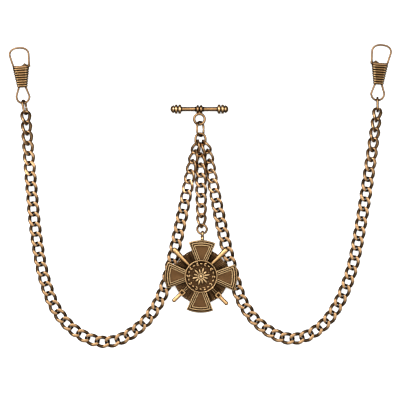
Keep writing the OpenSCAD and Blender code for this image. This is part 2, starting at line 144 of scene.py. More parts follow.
class Build:
    """Collects points, faces and the material number of each face, in millimetres."""

    def __init__(self):
        self.points, self.faces, self.mats = [], [], []

    def add(self, points, faces, mat=0):
        base = sum(len(p) for p in self.points)
        self.points.append(np.asarray(points, float).reshape(-1, 3))
        for k, f in enumerate(faces):
            self.faces.append([base + i for i in f])
            self.mats.append(mat[k] if isinstance(mat, list) else mat)

    def grid(self, rows, close_rows=False, close_cols=True, mat=0):
        """Quads over equal rows of points. mat may give one number per row."""
        rows = [np.asarray(r, float) for r in rows]
        n, m = len(rows), len(rows[0])
        faces, mats = [], []
        for i in range(n if close_rows else n - 1):
            for k in range(m if close_cols else m - 1):
                j, l = (i + 1) % n, (k + 1) % m
                faces.append([i * m + k, i * m + l, j * m + l, j * m + k])
                mats.append(mat[i] if isinstance(mat, list) else mat)
        self.add(np.concatenate(rows), faces, mats)

    def cap(self, row, flip=False, mat=0):
        order = list(range(len(row)))
        self.add(row, [order[::-1] if flip else order], mat)

    def shape(self, fn, start=0):
        """Applies fn to the points added since start (an index into self.points)."""
        for k in range(start, len(self.points)):
            self.points[k] = fn(self.points[k])

    def mesh(self, name, materials, body, replaces, slot, sharp):
        """Makes the object. Edges sharper than sharp are creased; 0 leaves them all smooth."""
        data = bpy.data.meshes.new(name)
        data.from_pydata((np.concatenate(self.points) * MM).tolist(), [], self.faces)
        data.update()
        for m in materials:
            data.materials.append(m)
        data.polygons.foreach_set("material_index", self.mats)
        obj = bpy.data.objects.new(name, data)
        bpy.context.scene.collection.objects.link(obj)
        data.shade_smooth()
        if sharp:
            data.set_sharp_from_angle(angle=math.radians(sharp))
        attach(obj, body)
        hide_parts(*replaces)
        return obj


def sweep(build, path, radius, sides, closed, out, squeeze=1, mat=0):
    """Round wire along a path. out gives the direction of each ring's first point, and squeeze
    flattens the wire across that direction."""
    path = [np.asarray(p, float) for p in path]
    n = len(path)
    rows = []
    for i in range(n):
        before = path[(i - 1) % n] if closed else path[max(i - 1, 0)]
        after = path[(i + 1) % n] if closed else path[min(i + 1, n - 1)]
        d = unit(after - before)
        o = np.asarray(out(path[i]) if callable(out) else out, float)
        a = unit(o - (o @ d) * d)
        b = np.cross(d, a)
        r = radius[i] if isinstance(radius, list) else radius
        angles = np.arange(sides) * 2 * math.pi / sides
        rows.append(path[i] + r * (np.outer(np.cos(angles), a)
                                   + squeeze * np.outer(np.sin(angles), b)))
    build.grid(rows, close_rows=closed, mat=mat)
    if not closed:
        build.cap(rows[0], flip=True, mat=mat)
        build.cap(rows[-1], mat=mat)


def revolve(build, profile, segments=48, mat=0):
    """Turns a profile of (radius, height) points about Z. Zero radius closes an end."""
    rows = []
    for r, z in profile:
        a = np.arange(segments) * 2 * math.pi / segments
        rows.append(np.stack([max(r, 1e-4) * np.cos(a), max(r, 1e-4) * np.sin(a),
                              np.full(segments, z)], -1))
    build.grid(rows, mat=mat)


def smooth_path(points, per):
    """A smooth curve through the points, with per steps between one and the next."""
    p = [np.asarray(q, float) for q in points]
    p = [2 * p[0] - p[1]] + p + [2 * p[-1] - p[-2]]
    out = []
    for i in range(1, len(p) - 2):
        for k in range(per):
            t = k / per
            out.append(0.5 * (2 * p[i] + (p[i + 1] - p[i - 1]) * t
                              + (2 * p[i - 1] - 5 * p[i] + 4 * p[i + 1] - p[i + 2]) * t * t
                              + (3 * p[i] - p[i - 1] - 3 * p[i + 1] + p[i + 2]) * t ** 3))
    out.append(p[-2])
    return out


def arc_points(cx, cy, r, a0, a1, n):
    """n points of a circle round (cx, cy), from angle a0 to a1."""
    return [(cx + r * math.cos(math.radians(a)), cy + r * math.sin(math.radians(a)))
            for a in np.linspace(a0, a1, n)]


# ---------------------------------------------------------------- materials
PATCHES, GRAIN = (420.0, 4.0), (2600.0, 3.0)  # scale (per metre) and detail of the two noises
# The occlusion reach is how far the occlusion node looks. The dark it gives is partly patina and
# partly painted shade.
PATINA_AND_SHADE_REACH, GRAIN_DEPTH = 0.0035, 0.00006  # metres


def bronze(name, hollow_patina_and_shade, mid, bright, shine=0.3, grain=0.25, wear=0.5):
    """Antique plating: dark by occlusion in hollows and near other parts and the table, partly
    patina and partly painted shade; lighter where open; worn in patches; finely uneven.
    """
    m = bpy.data.materials.new(name)
    m.use_nodes = True
    t = m.node_tree
    t.nodes.clear()
    n, l = t.nodes.new, t.links.new
    out = n("ShaderNodeOutputMaterial")
    bsdf = n("ShaderNodeBsdfPrincipled")
    bsdf.inputs["Metallic"].default_value = 1.0
    coord = n("ShaderNodeTexCoord")
    patches = n("ShaderNodeTexNoise")
    fine = n("ShaderNodeTexNoise")
    for noise, (scale, detail) in ((patches, PATCHES), (fine, GRAIN)):
        noise.inputs["Scale"].default_value = scale
        noise.inputs["Detail"].default_value = detail
    # occlusion darkens the hollows and the places near other parts and near the table: partly the
    # plating's patina, partly painted shade
    occlusion_shade = n("ShaderNodeAmbientOcclusion")
    occlusion_shade.samples = 8
    occlusion_shade.inputs["Distance"].default_value = PATINA_AND_SHADE_REACH
    ramp = n("ShaderNodeValToRGB")
    ramp.color_ramp.elements[0].position = 0.3
    ramp.color_ramp.elements[0].color = (*hollow_patina_and_shade, 1)
    ramp.color_ramp.elements[1].position = 0.94
    ramp.color_ramp.elements[1].color = (*bright, 1)
    middle = ramp.color_ramp.elements.new(0.62)
    middle.color = (*mid, 1)
    # proudness, which is partly painted shade: occlusion + wear * (patches - 0.5)
    add = n("ShaderNodeMath")
    add.operation = "MULTIPLY_ADD"
    add.inputs[1].default_value = wear
    shift = n("ShaderNodeMath")
    shift.operation = "ADD"
    shift.inputs[1].default_value = -0.5 * wear
    rough = n("ShaderNodeMapRange")
    rough.inputs["From Min"].default_value = 0.3
    rough.inputs["From Max"].default_value = 0.75
    rough.inputs["To Min"].default_value = shine - 0.06
    rough.inputs["To Max"].default_value = shine + 0.14
    bump = n("ShaderNodeBump")
    bump.inputs["Strength"].default_value = grain
    bump.inputs["Distance"].default_value = GRAIN_DEPTH
    l(coord.outputs["Object"], patches.inputs["Vector"])
    l(coord.outputs["Object"], fine.inputs["Vector"])
    l(patches.outputs["Fac"], add.inputs[0])
    l(occlusion_shade.outputs["AO"], add.inputs[2])
    l(add.outputs[0], shift.inputs[0])
    l(shift.outputs[0], ramp.inputs["Fac"])
    l(ramp.outputs["Color"], bsdf.inputs["Base Color"])
    l(patches.outputs["Fac"], rough.inputs["Value"])
    l(rough.outputs["Result"], bsdf.inputs["Roughness"])
    l(fine.outputs["Fac"], bump.inputs["Height"])
    l(bump.outputs["Normal"], bsdf.inputs["Normal"])
    l(bsdf.outputs[0], out.inputs["Surface"])
    return m


# a brighter copy of the chain bronze for links that lie on edge: a painted highlight
CHAIN_HIGHLIGHT = bronze("chain_edge_painted_highlight", (0.01, 0.0045, 0.0015), (0.32, 0.168, 0.07),
                    (0.52, 0.31, 0.155), shine=0.32)
CHAIN = bronze("chain_bronze", (0.01, 0.0045, 0.0015), (0.2, 0.11, 0.051), (0.265, 0.157, 0.077),
               shine=0.32)
RING = bronze("ring_bronze", (0.008, 0.0035, 0.001), (0.145, 0.075, 0.031), (0.28, 0.16, 0.073),
              shine=0.33)
WIRE = bronze("clip_wire_bronze", (0.008, 0.0035, 0.001), (0.11, 0.056, 0.025),
              (0.22, 0.125, 0.06), shine=0.36)
SLEEVE = bronze("sleeve_bronze", (0.012, 0.006, 0.002), (0.16, 0.084, 0.033), (0.3, 0.172, 0.074),
                shine=0.3, wear=0.25)
# a near-black copy for the sleeve's grooves and holes: painted shade
GROOVE_SHADE = bronze("groove_painted_shade", (0.002, 0.001, 0.0004), (0.014, 0.007, 0.003),
                (0.035, 0.018, 0.007), shine=0.5)
BAR = bronze("bar_bronze", (0.012, 0.006, 0.002), (0.17, 0.086, 0.034), (0.28, 0.155, 0.067),
             shine=0.38)
BLADE = bronze("sword_bronze", (0.015, 0.008, 0.003), (0.24, 0.13, 0.05), (0.42, 0.25, 0.11),
               shine=0.34)
BRIGHT = bronze("bright_bronze", (0.02, 0.01, 0.004), (0.33, 0.185, 0.078), (0.58, 0.37, 0.18),
                shine=0.32)
DARK = bronze("dark_patina", (0.002, 0.001, 0.0005), (0.014, 0.007, 0.003), (0.035, 0.018, 0.008),
              shine=0.45)
FIELD = bronze("medal_field", (0.008, 0.004, 0.0015), (0.045, 0.0225, 0.009), (0.08, 0.041, 0.0167),
               shine=0.46, grain=0.6)
SUNK = bronze("medal_sunk_field", (0.002, 0.001, 0.0004), (0.014, 0.007, 0.0028),
              (0.042, 0.021, 0.0085), shine=0.45, grain=0.6, wear=0.9)
RIDGE = bronze("medal_ridge", (0.03, 0.016, 0.006), (0.27, 0.16, 0.07), (0.48, 0.32, 0.16),
               shine=0.34)
PLATE = bronze("medal_plate", (0.004, 0.002, 0.0008), (0.045, 0.0235, 0.0098),
               (0.11, 0.058, 0.025), shine=0.42, wear=0.6)
STEEL = bronze("spring_steel", (0.01, 0.008, 0.006), (0.08, 0.066, 0.052), (0.2, 0.17, 0.14))


# ---------------------------------------------------------------- curb chains
FLAT_AT, FLAT_PRESS = 1.08, 0.85  # where the ground faces start, and how far they are pressed in
ON_EDGE = 15  # links rolled more than this take the brighter chain bronze, a painted highlight
LINK_STEPS, LINK_SIDES, LINK_SQUEEZE = 64, 18, 0.95
SWELL, CROWDED_SWELL, CROWDED_LINKS = 0.22, 0.08, 7
LINK_ANGLES = np.arange(LINK_STEPS) * 360 / LINK_STEPS
LINK_PATH = [link_point(t) for t in LINK_ANGLES]


def ground_flat(p):
    """The faces of a curb chain are ground, so the proud strands end in narrow flats."""
    over = np.maximum(np.abs(p[:, 2]) - FLAT_AT, 0)
    return p - np.stack([0 * over, 0 * over, FLAT_PRESS * over * np.sign(p[:, 2])], -1)


def curb_link(build, place, side, roll, height, swell, mat):
    """swell is added to the CAD wire's radius along the link's two sides, because the wire in
    the photograph is thicker there than the CAD wire can be."""
    mark = len(build.points)
    radius = [LINK_WIRE / 2 + swell * math.sin(math.radians(t)) ** 2 for t in LINK_ANGLES]
    sweep(build, LINK_PATH, radius, LINK_SIDES, True, out=lambda p: p, squeeze=LINK_SQUEEZE,
          mat=mat)
    build.shape(ground_flat, mark)
    heading = math.radians(place[1])
    yaw = math.degrees(math.atan2(-math.cos(heading), side * math.sin(heading)))
    build.shape(lambda p: turn(turn(p, "x", roll), "z", yaw)
                + np.array([place[0][0], place[0][1], height]), mark)


def chain_run(chain, node, first, last):
    """Links that lie on edge take a brighter copy of the chain bronze, a painted highlight; the
    flat ones show their ground faces.
    """
    build = Build()
    links = range(first - 1, last)
    link_materials = [CHAIN_HIGHLIGHT if abs(roll_of(chain, i)) > ON_EDGE else CHAIN for i in links]
    used = list(dict.fromkeys(link_materials))
    for i, material in zip(links, link_materials):
        crowded = chain == "centre" or i < CROWDED_LINKS
        curb_link(build, ROUTE[chain][i], SIDE[chain], roll_of(chain, i), height_of(chain, i),
                  CROWDED_SWELL if crowded else SWELL, used.index(material))
    build.mesh("links_" + node, used, node, [node], "aged_bronze", sharp=25)


for chain in ("left", "right"):
    runs = LINKS // RUN
    for k in range(1, runs + 1):
        chain_run(chain, f"{chain}_chain_{k:02d}", RUN * k - RUN + 1,
                  LINKS if k == runs else RUN * k)
for k, (first, last) in enumerate(CENTRE_RUNS, 1):
    chain_run("centre", f"centre_chain_{k}", first, last)


# ---------------------------------------------------------------- T-bar
BAR_Y, BAR_Z, BAR_HALF, KNOB = 40.3, 2.05, 13.4, 5.05
SHAFT_R, EYE_R, EYE_WIRE_R, EYE_DROP = 1.02, 2.43, 0.62, 4.6
BAR_AT = np.array([0, BAR_Y, BAR_Z])


def along_x(p):
    """Turns a revolve about Z so that its axis is X."""
    return np.stack([p[:, 2], p[:, 0], p[:, 1]], -1)


def bar_shaft():
    """The shaft swells at both ends and on each side of the collar."""
    shaft = Build()
    half = BAR_HALF - KNOB + 0.05
    r = SHAFT_R
    profile = [(0, -half), (1.3, -half), (1.28, -half + 0.14), (1.08, -half + 0.36),
               (r, -half + 0.7), (r, -5), (r, -2.35), (1.08, -2.0), (1.26, -1.78), (1.3, -1.6),
               (r, -1.55), (r, 0)]
    full = profile + [(a, -b) for a, b in profile[-2::-1]]
    dark = [1, 1, 1, 0, 0, 0, 0, 1, 1, 1, 0]
    revolve(shaft, full, 40, mat=dark + dark[::-1] + [0])
    shaft.shape(lambda p: along_x(p) + BAR_AT)
    shaft.mesh("bar_shaft", [BAR, DARK], "t_bar", ["t_bar_shaft"], "aged_bronze", sharp=50)


def bar_knobs():
    """Each knob is two beads with dark grooves between them, and a dome."""
    knobs = Build()
    for s in (-1, 1):
        band = lambda x, w: [(1.75, x), (2.05, x + 0.08), (2.16, x + 0.24), (2.19, x + w / 2),
                             (2.16, x + w - 0.24), (2.05, x + w - 0.08), (1.75, x + w)]
        groove = lambda x, r: [(r, x + 0.05), (r - 0.05, x + 0.18), (r, x + 0.31)]
        dome = [(1.86 * math.cos(math.radians(a)), 3.34 + 1.68 * math.sin(math.radians(a)))
                for a in range(0, 91, 9)]
        whole = ([(0, 0)] + band(0, 1.32) + groove(1.32, 1.3) + band(1.68, 1.25)
                 + groove(2.93, 1.45) + [(1.72, 3.26)] + dome)
        mats = [1 if i == 0 or 7 <= i <= 10 or 17 <= i <= 20 else 0 for i in range(len(whole))]
        mark = len(knobs.points)
        revolve(knobs, whole, 48, mat=mats)
        knobs.shape(lambda p: along_x(p) * np.array([s, 1, s])
                    + np.array([s * (BAR_HALF - KNOB), BAR_Y, BAR_Z]), mark)
    knobs.mesh("bar_knobs", [BRIGHT, DARK], "t_bar", ["t_bar_knobs"], "bright_bronze", sharp=60)


def bar_eye():
    """A collar of two beads round the shaft, a short neck and the eye below it."""
    eye = Build()
    half = [(0.9, 1.45), (1.5, 1.43), (1.78, 1.34), (1.9, 1.15), (1.92, 0.8), (1.9, 0.45),
            (1.78, 0.26), (1.5, 0.17), (1.15, 0.14), (1.1, 0)]
    profile = [(r, -x) for r, x in half] + half[-2::-1]
    mats = [1 if 6 < i < 11 else 0 for i in range(len(profile))]
    revolve(eye, profile, 48, mat=mats)
    eye.shape(lambda p: along_x(p) + BAR_AT)
    mark = len(eye.points)
    sweep(eye, [(x, y, 0) for x, y in arc_points(0, 0, EYE_R, 0, 354, 60)], EYE_WIRE_R, 20, True,
          out=(0, 0, 1))
    eye.shape(lambda p: p + np.array([0, BAR_Y - EYE_DROP, BAR_Z]), mark)
    sweep(eye, [(0, BAR_Y - down, BAR_Z) for down in (1.1, 1.5, 1.9)], [0.95, 0.82, 0.85], 20,
          False, out=(0, 0, 1))
    eye.mesh("bar_eye", [RING, DARK], "t_bar", ["t_bar_eye"], "aged_bronze", sharp=60)


bar_shaft()
bar_knobs()
bar_eye()


# ---------------------------------------------------------------- rings
RING_SIDES, CUT = 22, 0.22


def oval(size, wire, cut_at=None):
    """An oval ring in the XY plane; cut_at is the height of the cut on its +X side."""
    r, straight = size[0] / 2, size[1] - size[0]
    path = [(r, y) for y in np.linspace(-straight / 2, straight / 2, 7)]
    path += arc_points(0, straight / 2, r, 0, 180, 25)[1:]
    path += [(-r, y) for y in np.linspace(straight / 2, -straight / 2, 7)[1:]]
    path += arc_points(0, -straight / 2, r, 180, 360, 25)[1:-1]
    build = Build()
    if cut_at is None:
        sweep(build, [(x, y, 0) for x, y in path], wire / 2, RING_SIDES, True,
              out=(0, 0, 1))
        return build
    side = sorted((p for p in path if p[0] >= r - 1e-6 and abs(p[1] - cut_at) >= CUT),
                  key=lambda p: p[1])
    upper = [p for p in side if p[1] > cut_at]
    lower = [p for p in side if p[1] < cut_at]
    rest = [p for p in path if p[0] < r - 1e-6]
    line = [(r, cut_at + CUT / 2)] + upper + rest + lower + [(r, cut_at - CUT / 2)]
    sweep(build, [(x, y, 0) for x, y in line], wire / 2, RING_SIDES, False,
          out=(0, 0, 1))
    return build


def place_oval(build, name, body, at, spin, turn_y, pitch=0):
    """Rolls a ring about its long axis by turn_y, tips it by pitch and spins it on the table."""
    build.shape(lambda p: turn(turn(turn(p, "y", turn_y), "x", pitch), "z", spin) + np.array(at))
    build.mesh(name, [RING], body, [body], "aged_bronze", sharp=60)


place_oval(oval((4.6, 6.64), 1.1, cut_at=0.1), "oval_jump_link", "oval_link",
           at=(0.42, 31.22, 2.25), spin=0, turn_y=50, pitch=-6.4)
place_oval(oval((4.54, 5.65), 1.18), "gather_oval", "gather_ring",
           at=(0.5, 26.25, 2.5), spin=0, turn_y=0)
place_oval(oval((3.4, 6.35), 1.16, cut_at=0.0), "left_clip_jump_link", "left_clip_link",
           at=(-80.16, 41.11, 2.3), spin=11.5, turn_y=70)
place_oval(oval((3.4, 6.25), 1.16, cut_at=0.0), "right_clip_jump_link", "right_clip_link",
           at=(81.75, 42.38, 2.3), spin=0.95, turn_y=84)


def medal_ring():
    build = Build()
    path = [(x, y, 0) for x, y in arc_points(0, 0, 2.2, -58, 298, 56)]
    sweep(build, path, 0.56, 20, False, out=(0, 0, 1))
    build.shape(lambda p: turn(p, "x", -20) + np.array([1.22, -14.8, 3.35]))
    build.mesh("medal_jump_ring", [RING], "medal_ring", ["medal_ring"], "aged_bronze", sharp=60)


medal_ring()


# ---------------------------------------------------------------- medal
MEDAL_AT, MEDAL_TURN, MEDAL_R = np.array([0.75, -36.4, 0]), -2.0, 16.6
BASE_Z = 3.65  # the ray plate's upper face, which the arms and swords stand on
ARM_START, ARM_POINTS = 7.0, 26


def to_medal(p):
    return turn(p, "z", MEDAL_TURN) + MEDAL_AT


def arm_line(inset):
    """The open outline of one arm, up its left side, over the outer arc and down its right."""
    outer = MEDAL_R - inset * 1.22
    half = lambda r: 2.9 + 0.415 * (r - 7.5) - inset * 1.08
    x = half(outer)
    for _ in range(6):
        x = half(math.sqrt(outer * outer - x * x))
    corner = math.asin(x / outer)
    left = [(-half(y), y) for y in np.linspace(ARM_START, outer * math.cos(corner),
                                            ARM_POINTS)]
    top = [(outer * math.sin(a), outer * math.cos(a))
           for a in np.linspace(-corner, corner, ARM_POINTS)]
    return left + top[1:-1] + [(-x0, y0) for x0, y0 in left[::-1]]


def medal_cross():
    build = Build()
    # insets and heights of the stepped ridges, and which material each step takes
    steps = [(0.06, BASE_Z, 2), (0.0, 3.75, 2), (-0.04, 4.75, 2), (0.04, 4.92, 0), (0.14, 5.03, 1),
             (0.3, 5.05, 1), (0.4, 4.95, 2), (0.54, 4.66, 2), (0.78, 4.66, 2), (0.88, 4.9, 1),
             (0.96, 5.0, 1), (1.14, 5.0, 1), (1.24, 4.88, 2), (1.36, 4.64, 2), (1.62, 4.64, 2),
             (1.7, 4.82, 1), (1.78, 4.9, 1), (1.96, 4.9, 1), (2.06, 4.78, 0), (2.22, 4.66, 0)]
    for a in (0, 90, 180, 270):
        mark = len(build.points)
        rows = [[(x, y, z) for x, y in arm_line(d)] for d, z, _ in steps]
        build.grid(rows[::-1], close_cols=False, mat=[m for _, _, m in steps[::-1]][1:] + [0])
        inner = rows[-1]
        n = len(inner)
        lines = []
        for i in range(n // 2 + 1):
            p, q = np.array(inner[i]), np.array(inner[n - 1 - i])
            lines.append([p + (q - p) * k / 6 - np.array([0, 0, 0.05 * math.sin(math.pi * k / 6)])
                          for k in range(7)])
        build.grid(lines, close_cols=False, mat=0)
        under = [(x, y, BASE_Z) for x, y in arm_line(0.06)]
        build.grid([[under[i], under[n - 1 - i]] for i in range(n // 2 + 1)][::-1],
                   close_cols=False, mat=0)
        build.shape(lambda p: turn(p, "z", a), mark)
    revolve(build, [(0, 4.25), (7.3, 4.25), (7.38, 4.3), (7.38, 4.6), (0, 4.6)], 72, mat=0)
    build.shape(to_medal)
    build.mesh("medal_arms", [FIELD, RIDGE, DARK], "medal", ["medal_cross"], "medal_bronze",
               sharp=38)


def rounded_bar(build, stations, mat=0, z0=BASE_Z):
    """A half-round bar lying on z0. stations are (x, half width, height)."""
    rows = []
    for x, w, h in stations:
        row = [(x, -w, z0)]
        for a in range(0, 181, 10):
            row.append((x, -w * power(math.cos(math.radians(a)), 2.6),
                        z0 + 0.15 * h + 0.85 * h * power(math.sin(math.radians(a)), 2.6)))
        row.append((x, w, z0))
        rows.append(row)
    build.grid(rows, mat=mat)
    build.cap(rows[0], flip=True, mat=mat)
    build.cap(rows[-1], mat=mat)


def medal_plate():
    """The ray plate: ribs of uneven height that run out to a toothed rim."""
    build = Build()
    steps, ribs = 768, 96
    rng = random.Random(4)
    proud = [0.45 + 0.55 * rng.random() for _ in range(ribs)]
    rows = []
    for r, level in ((0.5, 0), (6.8, 0), (7.2, 0), (8.0, 1), (9.2, 1), (10.4, 1), (11.4, 1),
                     (12.1, 1), (12.5, 0.7)):
        row = []
        for k in range(steps):
            a = 2 * math.pi * k / steps
            rib = 0.5 + 0.5 * math.cos(ribs * a)
            tooth = 0.2 * (rib > 0.5) if r > 12.2 else 0
            own = proud[round(ribs * k / steps) % ribs]
            z = BASE_Z + level * (0.02 + 0.26 * own * rib ** 0.7)
            row.append(((r + tooth) * math.cos(a), (r + tooth) * math.sin(a), z))
        rows.append(row)
    rows.append([(x, y, 3.3) for x, y, _ in rows[-1]])
    rows.append([(x * 0.995, y * 0.995, 3.06) for x, y, _ in rows[-1]])
    rows.append([(x * 0.02, y * 0.02, 3.06) for x, y, _ in rows[-1]])
    build.grid(rows)
    # the rim is worn through to the metal in short dashes
    for k in range(0, ribs, 3):
        if rng.random() < 0.6:
            a = math.radians(360 * k / ribs)
            mark = len(build.points)
            rounded_bar(build, [(-0.45, 0.05, 0.2), (-0.3, 0.13, 0.32), (0.3, 0.13, 0.32),
                                (0.45, 0.05, 0.2)], mat=1)
            build.shape(lambda p: turn(p + np.array([0, 11.85, 0]), "z", math.degrees(a)), mark)
    build.shape(to_medal)
    build.mesh("medal_rays", [PLATE, RIDGE], "medal", ["medal_ray_plate"], "medal_bronze", sharp=30)


def rounded_end(x, reach, half, low, rise, step):
    """Stations that close a bar at x in a rounded end, which goes reach past it."""
    angles = [math.radians(a) for a in range(0, 91, step)]
    return [(x + reach * math.sin(a), max(half * math.cos(a), 0.05), low + rise * math.cos(a))
            for a in angles]


def sword(name, node, angle, aside, blade_end, guard_at, hilt_end):
    """aside is how far the sword's line passes from the medal's centre."""
    build = Build()
    blade = [(7.2, 0.5, 0.75), (8.2, 0.66, 0.85), (11, 0.92, 1.0), (14, 1.15, 1.12),
             (blade_end - 0.5, 1.3, 1.2)]
    rounded_bar(build, blade + rounded_end(blade_end, 1.3, 1.3, 0.5, 0.7, 10))
    hilt = [(-guard_at - 0.7, 0.84, 0.85), (-13.4, 0.9, 0.92), (-15.5, 0.94, 0.95),
            (-hilt_end + 0.2, 0.98, 0.98)]
    hilt += rounded_end(-hilt_end, -0.85, 0.98, 0.4, 0.58, 15)
    rounded_bar(build, hilt[::-1])
    # guard: a square frame round a dark hollow
    mark = len(build.points)
    c, s, w = -guard_at, 1.18, 0.36
    loops = []
    for half, z in ((s, 3.7), (s, 4.75), (s - 0.08, 4.86), (s - w, 4.86), (s - w - 0.05, 4.8),
                    (s - w - 0.1, 4.35), (0.02, 4.3)):
        loops.append([(c + half * x, half * y, z)
                      for x, y in ((-1, -1), (1, -1), (1, 1), (-1, 1))])
    build.grid(loops, mat=[0, 0, 0, 0, 1, 1])
    # ricasso: two fine raised lines between the guard and the disc
    for y in (-0.45, 0.45):
        rounded_bar(build, [(1.1 - guard_at, 0.14, 0.42), (-7.3, 0.14, 0.42)], mat=2)
        parts = 3  # a rounded bar's surface and its two caps
        build.shape(lambda p: p + np.array([0, y, 0]), len(build.points) - parts)
    build.shape(lambda p: to_medal(turn(p + np.array([0, aside, 0]), "z", angle)))
    build.mesh(name, [BLADE, DARK, RIDGE], "medal", [node], "bright_bronze", sharp=45)


def seed(length, width, thick, fullness, rings, sides):
    """Rows of a pointed oval body along X, for a leaf or a petal."""
    rows = []
    for i in range(rings):
        t = math.pi * i / (rings - 1)
        row = []
        for k in range(sides):
            a = 2 * math.pi * k / sides
            row.append((-length * math.cos(t), width * math.sin(t) ** fullness * math.cos(a),
                        thick * math.sin(t) * math.sin(a)))
        rows.append(row)
    return rows


def medal_disc():
    """A disc with a raised rim, and a ring of small leaves inside it."""
    build = Build()
    profile = [(0, 4.62), (7.3, 4.62), (7.46, 4.75), (7.5, 5.2), (7.46, 5.4), (7.34, 5.5),
               (7.18, 5.5), (7.06, 5.38), (6.98, 5.14), (6.86, 5.04), (4.0, 5.06), (0, 5.1)]
    mats = [0, 2, 1, 1, 1, 1, 1, 2, 2, 0, 0, 0]
    revolve(build, profile, 120, mat=mats)
    leaf = seed(0.78, 0.36, 0.34, 1.1, 9, 10)
    count = 20
    for k in range(count):
        for lean in (-1, 1) if k % 2 == 0 else (0,):
            mark = len(build.points)
            build.grid(leaf, mat=1)
            r = 5.8 + 0.4 * lean
            build.shape(lambda p: turn(turn(p, "z", 90 + 28 * lean) + np.array([r, 0, 5.12]),
                                       "z", 360 * k / count), mark)
    build.shape(to_medal)
    build.mesh("medal_centre", [SUNK, BRIGHT, DARK], "medal", ["medal_disc"], "medal_bronze",
               sharp=50)


def medal_rosette():
    """Twelve petals round a button, with a bead between each two."""
    build = Build()
    petal = seed(1.5, 0.48, 0.4, 0.8, 10, 12)
    for k in range(12):
        mark = len(build.points)
        build.grid(petal, mat=0)
        reach = 2.8 if k % 2 == 0 else 2.4
        build.shape(lambda p: turn(p * np.array([1.0 if k % 2 == 0 else 0.75, 1, 1])
                                   + np.array([reach, 0, 5.18]), "z", 30 * k + 15), mark)
    revolve(build, [(1.45, 5.08), (1.4, 5.28), (1.15, 5.32), (1.0, 5.22), (0.9, 5.3),
                    (0.6, 5.5), (0.3, 5.6), (0, 5.63)], 36, mat=[0, 0, 1, 1, 0, 0, 0, 0])
    for k in range(12):
        mark = len(build.points)
        revolve(build, [(0.2, 5.1), (0.19, 5.2), (0.12, 5.28), (0, 5.3)], 10, mat=0)
        build.shape(lambda p: turn(p + np.array([4.1, 0, 0]), "z", 30 * k), mark)
    build.shape(to_medal)
    build.mesh("medal_flower", [RIDGE, DARK], "medal", ["medal_rosette"], "bright_bronze", sharp=45)


def medal_bail():
    build = Build()
    path = [(0, 19.45 + 1.1 * math.cos(a), 4.1 + 1.1 * math.sin(a))
            for a in np.linspace(0, 2 * math.pi, 41)[:-1]]
    sweep(build, path, 0.45, 16, True, out=(1, 0, 0))
    build.shape(lambda p: p * np.array([1.45, 1, 1]))
    stem = [(0, 18.5, 4.1), (0, 18.0, 4.1), (0, 17.2, 4.1), (0, 16.8, 4.15), (0, 16.55, 4.2)]
    sweep(build, stem, [0.85, 0.8, 0.76, 0.82, 1.1], 16, False, out=(0, 0, 1))
    build.shape(to_medal)
    build.mesh("medal_loop", [BRIGHT], "medal", ["medal_bail"], "bright_bronze", sharp=50)


medal_cross()
medal_plate()
sword("sword_left_hilt_right", "medal_sword_left", 136.2, 0.3, 17.0, 11.7, 17.0)
sword("sword_right_hilt_left", "medal_sword_right", 46, 0.7, 16.3, 11.4, 16.6)
medal_disc()
medal_rosette()
medal_bail()


# ---------------------------------------------------------------- clips
CLIP_Z, CLIP_WIRE_R, SOCKET = 2.3, 0.5, (3.79, 10.05)
SLEEVE_LOW, SLEEVE_HIGH, SLEEVE_LENGTH, RIBS = (2.36, 1.7), (3.78, 2.15), 8.7, 8
# the share of the half width beyond which the ribs take their painted highlight
SLEEVE_SIDES, HIGHLIGHT_FROM = 80, 0.58
COIL_R, COIL_WIRE_R, COIL_TURNS, COIL_FROM, COIL_LENGTH = 0.85, 0.14, 7, 1.75, 7.3


def clip_frame_path():
    """One wire: from the socket over the hook, down through the sleeve, round the loop, back up."""
    hook = [(-0.38 + 4.33 * power(math.cos(math.radians(t)), 2.3),
             15.2 + 3.2 * power(math.sin(math.radians(t)), 2.3)) for t in range(0, 181, 15)]
    points = [(SOCKET[0], SOCKET[1] - 0.15), (3.9, 13)] + hook
    points += [(-4.15, 12.8), (-3.4, 10.1), (-2.5, 8.2), (-1.65, 2.6), (-1.5, 1), (-1.75, -0.2)]
    points += [(2.93 * math.cos(math.radians(t)), -4.14 + 2.93 * math.sin(math.radians(t)))
               for t in range(164, 377, 20)]
    points += [(1.75, -0.2), (1.5, 1), (1.5, 1.5)]
    return smooth_path([(x, y, 0) for x, y in points], 5)


def sleeve_size(v):
    """Half width and half thickness of the sleeve at height v."""
    k = v / SLEEVE_LENGTH
    return (SLEEVE_LOW[0] + (SLEEVE_HIGH[0] - SLEEVE_LOW[0]) * k,
            SLEEVE_LOW[1] + (SLEEVE_HIGH[1] - SLEEVE_LOW[1]) * k)


def sleeve_ring(v, shrink):
    w, t = sleeve_size(min(max(v - 0.2, 0), SLEEVE_LENGTH))
    angles = [2 * math.pi * k / SLEEVE_SIDES for k in range(SLEEVE_SIDES)]
    return np.array([((w + 0.1 - shrink) * power(math.cos(a), 5), v,
                      (t - shrink) * power(math.sin(a), 5)) for a in angles])


def clip_wire():
    build = Build()
    sweep(build, clip_frame_path(), CLIP_WIRE_R, 16, False, out=(0, 0, 1))
    # bridge between the two wires, where the spring stands
    build.add([(x, y, z) for x in (-1.1, 1.1) for y in (0.9, 1.6) for z in (-0.5, 0.5)],
              [(0, 1, 3, 2), (4, 6, 7, 5), (0, 4, 5, 1), (2, 3, 7, 6), (0, 2, 6, 4),
               (1, 5, 7, 3)])
    return build


